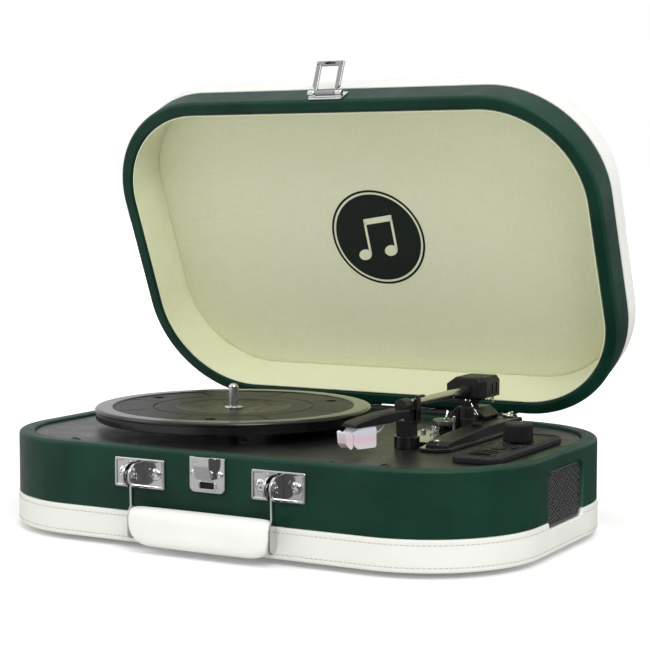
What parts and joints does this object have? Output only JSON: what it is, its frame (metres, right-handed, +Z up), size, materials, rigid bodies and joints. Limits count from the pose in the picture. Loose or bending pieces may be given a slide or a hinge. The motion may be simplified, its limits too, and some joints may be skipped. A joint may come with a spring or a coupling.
{
  "type": "suitcase record player",
  "caption": "Suitcase-style record player: wrapped case with hinged lid and hasp, belt-driven platter, tonearm, side speaker grilles and a padded carry handle.",
  "frame": {"origin": "middle of the open player's box, on the floor under the feet", "axes": "+X to the player's right, -Y to its front where the handle is, +Z up"},
  "size_m": [0.3912, 0.3054, 0.3259],
  "materials": {
    "green_leatherette": "dark green leatherette over board, fine grain, soft sheen",
    "white_leatherette": "white leatherette, fine grain, stitched",
    "black_leatherette": "black leatherette, pebbled, half gloss",
    "cream_cloth": "cream woven cloth, matt",
    "black_board": "black painted board",
    "black_plastic": "black moulded plastic, fine spark texture",
    "gloss_black": "black moulded plastic, glossy",
    "platter_plastic": "black plastic, smooth rim, spark-textured face",
    "grille_mesh": "black perforated mesh",
    "chrome": "bright nickel plate",
    "steel": "turned steel",
    "black_steel": "black oxide steel",
    "tube_metal": "satin aluminium tube",
    "cartridge_plastic": "milky white plastic",
    "rubber": "black rubber",
    "brass": "turned brass",
    "circuit": "green circuit laminate"
  },
  "bodies": {
    "case": {"case_wall": "green_leatherette", "base_band": "white_leatherette", "bottom_panel": "black_board", "foot_front_left": "rubber", "foot_front_right": "rubber", "foot_rear_left": "rubber", "foot_rear_right": "rubber", "deck_board": "black_leatherette", "deck_screw_front_left": "black_steel", "deck_screw_front_right": "black_steel", "deck_screw_rear_left": "black_steel", "deck_screw_rear_right": "black_steel", "rear_socket_plate": "black_plastic", "speaker_grille_left": "grille_mesh", "speaker_grille_right": "grille_mesh", "speaker_driver_left": "black_board", "speaker_driver_right": "black_board", "spindle": "steel", "spindle_clip": "steel", "motor": "steel", "drive_belt": "rubber", "mechanism_plate": "gloss_black", "arm_tower": "black_plastic", "arm_rest": "gloss_black", "control_panel": "black_plastic", "volume_pot": "steel", "circuit_board": "circuit", "handle_bracket_left": "chrome", "handle_bracket_right": "chrome", "latch_catch": "chrome", "hinge_leaf_case_left": "black_steel", "hinge_pin_left": "steel", "hinge_leaf_case_right": "black_steel", "hinge_pin_right": "steel"},
    "lid": {"lid_wall": "green_leatherette", "lid_cap": "white_leatherette", "lid_liner": "cream_cloth", "hinge_leaf_lid_left": "black_steel", "hinge_leaf_lid_right": "black_steel", "latch_plate": "chrome"},
    "hasp": {"latch_hasp": "chrome"},
    "handle": {"handle_grip": "white_leatherette", "handle_arm_left": "chrome", "handle_arm_right": "chrome"},
    "platter": {"platter": "platter_plastic"},
    "pulley": {"motor_pulley": "brass"},
    "yoke": {"arm_yoke": "black_steel"},
    "arm": {"arm_pivot_bar": "steel", "arm_tube": "tube_metal", "arm_housing": "black_plastic", "headshell": "black_plastic", "cartridge": "cartridge_plastic", "stylus": "cartridge_plastic"},
    "clip": {"arm_clip": "black_plastic"},
    "cue_lever": {"cue_lever": "black_steel"},
    "cue_rail": {"cue_rail": "black_plastic"},
    "volume": {"volume_knob": "black_plastic"},
    "speed": {"speed_lever": "chrome"},
    "autostop": {"autostop_switch": "black_plastic"},
    "mode": {"mode_switch": "gloss_black"}
  },
  "joints": [
    {"name": "lid_hinge", "type": "hinge", "parent": "case", "child": "lid", "pos_m": [0, 0.11456, 0.0675], "axis": [-1, 0, 0], "range_deg": [-66.75, 23.25]},
    {"name": "hasp_hinge", "type": "hinge", "parent": "lid", "child": "hasp", "pos_m": [0, 0.01759, 0.30283], "axis": [-1, 0, 0], "range_deg": [-134.4, 24]},
    {"name": "handle_hinge", "type": "hinge", "parent": "case", "child": "handle", "pos_m": [0, -0.14494, 0.0503], "axis": [-1, 0, 0], "range_deg": [0, 110]},
    {"name": "platter_spin", "type": "hinge", "parent": "case", "child": "platter", "pos_m": [-0.0607, -0.00844, 0.075], "axis": [0, 0, -1], "continuous": true},
    {"name": "pulley_spin", "type": "hinge", "parent": "case", "child": "pulley", "pos_m": [-0.11727, 0.04813, 0.07], "axis": [0, 0, -1], "continuous": true},
    {"name": "arm_swing", "type": "hinge", "parent": "case", "child": "yoke", "pos_m": [0.0973, 0.05256, 0.0951], "axis": [0, 0, -1], "range_deg": [0, 42]},
    {"name": "arm_raise", "type": "hinge", "parent": "yoke", "child": "arm", "pos_m": [0.0973, 0.05256, 0.0951], "axis": [-1, 0, 0], "range_deg": [0, 9.3]},
    {"name": "clip_turn", "type": "hinge", "parent": "case", "child": "clip", "pos_m": [0.1019, -0.04104, 0.0989], "axis": [0, 0, -1], "range_deg": [-90, 0]},
    {"name": "cue_turn", "type": "hinge", "parent": "case", "child": "cue_lever", "pos_m": [0.089, 0.02856, 0.0721], "axis": [0, 0, 1], "range_deg": [0, 80]},
    {"name": "rail_lift", "type": "slide", "parent": "case", "child": "cue_rail", "axis": [0, 0, 1], "range_m": [0, 0.00205]},
    {"name": "volume_turn", "type": "hinge", "parent": "case", "child": "volume", "pos_m": [0.1607, -0.01044, 0.07], "axis": [0, 0, -1], "range_deg": [-150, 150]},
    {"name": "speed_turn", "type": "hinge", "parent": "case", "child": "speed", "pos_m": [0.118, 0.07156, 0.075], "axis": [0, 0, 1], "range_deg": [-20, 20]},
    {"name": "autostop_slide", "type": "slide", "parent": "case", "child": "autostop", "axis": [0, 1, 0], "range_m": [-0.002, 0.004]},
    {"name": "mode_slide", "type": "slide", "parent": "case", "child": "mode", "axis": [1, 0, 0], "range_m": [-0.0045, 0.0045]}
  ],
  "couplings": [
    {"joint": "pulley_spin", "follows": "platter_spin", "ratio": 14},
    {"joint": "arm_raise", "follows": "arm_swing", "ratio": 0.22},
    {"joint": "rail_lift", "follows": "cue_turn", "m_per_rad": 0.001433}
  ]
}
